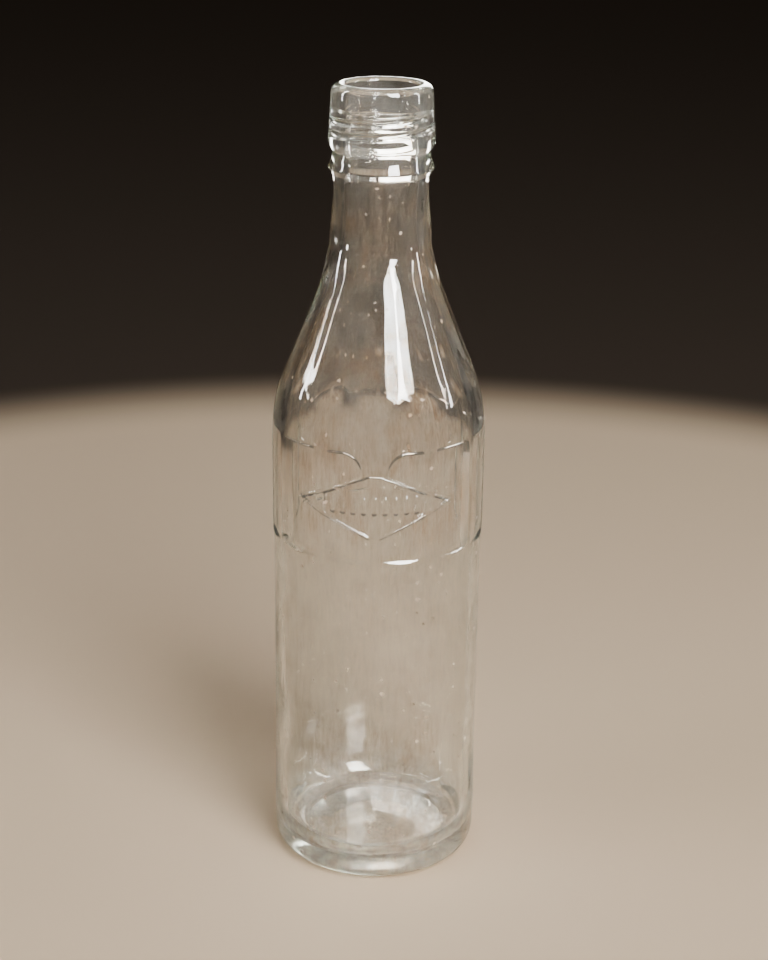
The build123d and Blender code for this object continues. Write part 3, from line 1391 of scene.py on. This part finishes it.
    def surface(self) -> tuple[np.ndarray, list[np.ndarray]]:
        """The closed surface of the glass.

        A point is its row's changed radius times the sine and minus cosine of its
        angle, at its row's height.

        Returns:
            Points, and arrays of four-sided and three-sided faces.
        """
        outer = rounded_outline([*self.outside(), *self.mouth(), *self.inside()],
                                self.spacing.arc_step)
        turn_in = int(np.argmax((outer[:, 1] > self.height - self.seat_depth)
                                & (outer[:, 0] < self.mouth_radius + self.outline_slack)))
        rows, inside_from = self.spacing.spread(outer, turn_in)
        points = [np.array([[0.0, 0.0, rows[0, 1]]])]
        quads, triangles = [], []
        band_low, band_high, _ = self.spacing.close_spans[0]
        order = (Columns.WIDE, Columns.PLAIN, Columns.CLOSE)
        kinds = np.where((rows[:, 1] > band_low) & (rows[:, 1] < band_high),
                         order.index(Columns.CLOSE), order.index(Columns.PLAIN))
        kinds[inside_from:] = order.index(Columns.WIDE)
        last = len(rows) - 1
        cuts = [1, *(np.flatnonzero(np.diff(kinds)) + 1), last]
        used, before = 1, None
        for first, end in zip(cuts, cuts[1:]):
            angles = self.skin.columns.angles(order[kinds[first]])
            radius = np.broadcast_to(rows[first:end, :1], (end - first, len(angles)))
            level = np.broadcast_to(rows[first:end, 1:], radius.shape)
            around = np.broadcast_to(angles, radius.shape)
            shape = self.inner_radius if first >= inside_from else self.outer_radius
            radius = shape(radius, around, level)
            turn = np.radians(around)
            grid = np.stack([radius * np.sin(turn), -radius * np.cos(turn), level], axis=-1)
            points.append(grid.reshape(-1, 3))
            quads.append(self.skin.ring_faces(used, end - first, len(angles)))
            if before is None:
                triangles.append(self.skin.pole_faces(0, used, len(angles), False))
            elif len(before) < len(angles):
                triangles.append(self.skin.seam_faces(
                    before, angles, used - len(before), used, True))
            else:
                triangles.append(self.skin.seam_faces(
                    angles, before, used, used - len(before), False))
            used += grid.shape[0] * grid.shape[1]
            before = angles
        points.append(np.array([[0.0, 0.0, rows[-1, 1]]]))
        triangles.append(self.skin.pole_faces(used, used - len(before), len(before), True))
        return np.vstack(points), [np.vstack(quads), np.vstack(triangles)]

    def wall_middle(self) -> np.ndarray:
        """The middle of the wall, for the bubbles.

        Returns:
            Rows of height and the radius half-way through the wall.
        """
        outer = rounded_outline(self.outside(), self.spacing.arc_step)
        inner = rounded_outline(self.inside(), self.spacing.arc_step)[::-1]
        levels = np.linspace(self.seeds.lowest, self.seeds.highest, self.wall_samples)
        middle = (np.interp(levels, outer[:, 1], outer[:, 0])
                  + np.interp(levels, inner[:, 1], inner[:, 0])) / 2.0
        return np.column_stack([levels, middle])

    def build(self) -> bpy.types.Object:
        """Makes the glass, with its bubbles as hollows in the same mesh.

        Returns:
            The piece, riding on its body in place of the CAD node.
        """
        points, (quads, triangles) = self.surface()
        seed_points, seed_faces = self.seeds.in_wall(self.wall_middle())
        triangles = np.vstack([triangles, seed_faces + len(points)])
        made = mesh_object("glass_bottle", np.vstack([points, seed_points]),
                           [quads, triangles], self.finish.make())
        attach(made, "root")
        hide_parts("bottle")
        LOG.info("glass bottle: %d vertices, %d quads, %d triangles",
                 len(made.data.vertices), len(quads), len(triangles))
        return made


@dataclass(frozen=True)
class Viewpoint:
    """Where the camera stands: tilted down at the axis, a little to the bottle's left."""

    azimuth: float = 1.75
    pitch: float = 20.27
    distance: float = 648.4
    aim_height: float = 136.93
    side_step: float = -0.308
    yaw: float = 0.225
    roll: float = 0.716
    view_height: float = 28.43
    near_clip: float = 0.01

    def build(self) -> bpy.types.Object:
        """Makes the camera.

        It looks level along +Y, then turns down by its pitch and sideways by its yaw and
        roll, and then swings round the bottle by its azimuth.

        Returns:
            The camera, set as the scene's.
        """
        data = bpy.data.cameras.new("camera")
        data.angle = math.radians(self.view_height)
        data.clip_start = self.near_clip
        made = bpy.data.objects.new("camera", data)
        bpy.context.scene.collection.objects.link(made)
        pitch = math.radians(self.pitch)
        stand = Vector((
            self.side_step,
            -self.distance * math.cos(pitch),
            self.aim_height + self.distance * math.sin(pitch),
        )) * MILLIMETRE
        swing = Matrix.Rotation(math.radians(self.azimuth), 4, "Z")
        turn = Matrix.Rotation(math.radians(-self.yaw), 4, "Z")
        tilt = Matrix.Rotation(math.radians(90.0) - pitch, 4, "X")
        roll = Matrix.Rotation(math.radians(self.roll), 4, "Z")
        made.matrix_world = swing @ Matrix.Translation(stand) @ turn @ tilt @ roll
        bpy.context.scene.camera = made
        return made


@dataclass(frozen=True)
class Softbox:
    """A soft rectangular studio light, aimed at the bottle."""

    name: str
    azimuth: float
    distance: float
    height: float
    width: float
    tall: float
    power: float
    warmth: tuple[float, float, float] = (1.0, 1.0, 1.0)
    lights_floor: bool = True
    mirrored: bool = True
    aim_height: float = 0.14

    def build(self) -> bpy.types.Object:
        """Makes the light, placed by its azimuth from the front, distance and height.

        Returns:
            The light, turned towards the bottle's axis.
        """
        data = bpy.data.lights.new(self.name, "AREA")
        data.shape = "RECTANGLE"
        data.size = self.width
        data.size_y = self.tall
        data.energy = self.power
        data.color = self.warmth
        made = bpy.data.objects.new(self.name, data)
        made.visible_diffuse = self.lights_floor
        made.visible_glossy = self.mirrored
        made.visible_transmission = self.mirrored
        bpy.context.scene.collection.objects.link(made)
        turn = math.radians(self.azimuth)
        stand = Vector((math.sin(turn), -math.cos(turn), 0.0)) * self.distance
        stand.z = self.height
        aim = Vector((0.0, 0.0, self.aim_height)) - stand
        made.matrix_world = (Matrix.Translation(stand)
                             @ aim.to_track_quat("-Z", "Y").to_matrix().to_4x4())
        return made


@dataclass(frozen=True)
class Studio:
    """The floor, the soft lights, the dim surroundings and how light is followed."""

    floor_radius: float = 3500.0
    floor_rings: int = 24
    floor_spokes: int = 96
    floor: FloorFinish = field(default_factory=FloorFinish)
    horizon: tuple[float, float, float, float] = (0.010, 0.009, 0.008, 1.0)
    overhead: tuple[float, float, float, float] = (0.155, 0.145, 0.135, 1.0)
    overhead_from: float = 0.30
    exposure: float = 0.0
    look: str = "AgX - Medium High Contrast"
    bounces: int = 32
    diffuse_bounces: int = 5
    indirect_clamp: float = 60.0
    lights: tuple[Softbox, ...] = (
        Softbox("window", 31.0, 1.05, 1.0, 0.62, 1.55, 22.0, (1.0, 0.98, 0.95),
                mirrored=False),
        Softbox("window_glint", 31.0, 1.04, 0.99, 0.50, 1.10, 100.0, lights_floor=False),
        Softbox("fill", -70.0, 1.6, 0.8, 0.9, 1.2, 7.0, (0.92, 0.96, 1.0), mirrored=False),
        Softbox("left_strip", -97.0, 1.1, 0.62, 0.08, 0.9, 8.0, lights_floor=False),
        Softbox("right_strip", 90.0, 1.1, 0.62, 0.07, 0.9, 7.0, lights_floor=False),
        Softbox("back_strip", 172.0, 1.3, 0.5, 0.5, 0.5, 8.0, lights_floor=False),
    )

    def build_floor(self) -> bpy.types.Object:
        """Makes a round floor: rings whose radii grow with the square of their number.

        Returns:
            The floor, which isn't part of the object.
        """
        share = (np.arange(1, self.floor_rings + 1) / self.floor_rings) ** 2
        turn = np.linspace(0.0, 2.0 * math.pi, self.floor_spokes, endpoint=False)
        radius = self.floor_radius * share[:, None]
        grid = np.stack([radius * np.cos(turn), radius * np.sin(turn),
                         np.zeros((self.floor_rings, self.floor_spokes))], axis=-1)
        points = np.vstack([np.zeros((1, 3)), grid.reshape(-1, 3)])
        skin = Skin()
        quads = skin.ring_faces(1, self.floor_rings, self.floor_spokes)[:, ::-1]
        middle = skin.pole_faces(0, 1, self.floor_spokes, True)
        made = mesh_object("floor", points, [quads, middle], self.floor.make())
        return made

    def build_surroundings(self) -> None:
        """Fills the scene with a soft grey light, dark at the horizon, paler overhead."""
        world = bpy.data.worlds.new("surroundings")
        nodes = Nodes(world)
        split = nodes.add("ShaderNodeSeparateXYZ")
        nodes.join(nodes.add("ShaderNodeTexCoord").outputs["Generated"], split.inputs[0])
        rise = nodes.remap(split.outputs["Z"], 0.0, self.overhead_from)
        glow = nodes.add("ShaderNodeBackground")
        shade = nodes.mix_colour(rise, self.horizon, self.overhead)
        nodes.join(shade, glow.inputs["Color"])
        nodes.join(glow.outputs["Background"], nodes.output.inputs["Surface"])
        bpy.context.scene.world = world

    def set_light_paths(self) -> None:
        """Lets light through many walls of glass, and sets the picture's contrast."""
        scene = bpy.context.scene
        cycles = scene.cycles
        cycles.max_bounces = self.bounces
        cycles.transmission_bounces = self.bounces
        cycles.glossy_bounces = self.bounces // 2
        cycles.diffuse_bounces = self.diffuse_bounces
        cycles.sample_clamp_indirect = self.indirect_clamp
        cycles.use_denoising = True
        scene.view_settings.look = self.look
        scene.view_settings.exposure = self.exposure

    def build(self) -> None:
        """Makes everything round the bottle."""
        self.build_floor()
        self.build_surroundings()
        for light in self.lights:
            light.build()
            LOG.info("light: %s", light.name)
        self.set_light_paths()


def main() -> None:
    """Builds the bottle, the camera and the studio, and reports each piece."""
    logging.basicConfig(level=logging.INFO, format="%(name)s: %(message)s")
    low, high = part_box("bottle")
    glass = GlassBottle(
        body_radius=(high.x - low.x) / 2.0 / MILLIMETRE,
        height=(high.z - low.z) / MILLIMETRE,
    )
    made = glass.build()
    LOG.info("piece: %s", made.name)
    Viewpoint().build()
    Studio().build()


if __name__ == "__main__":
    main()
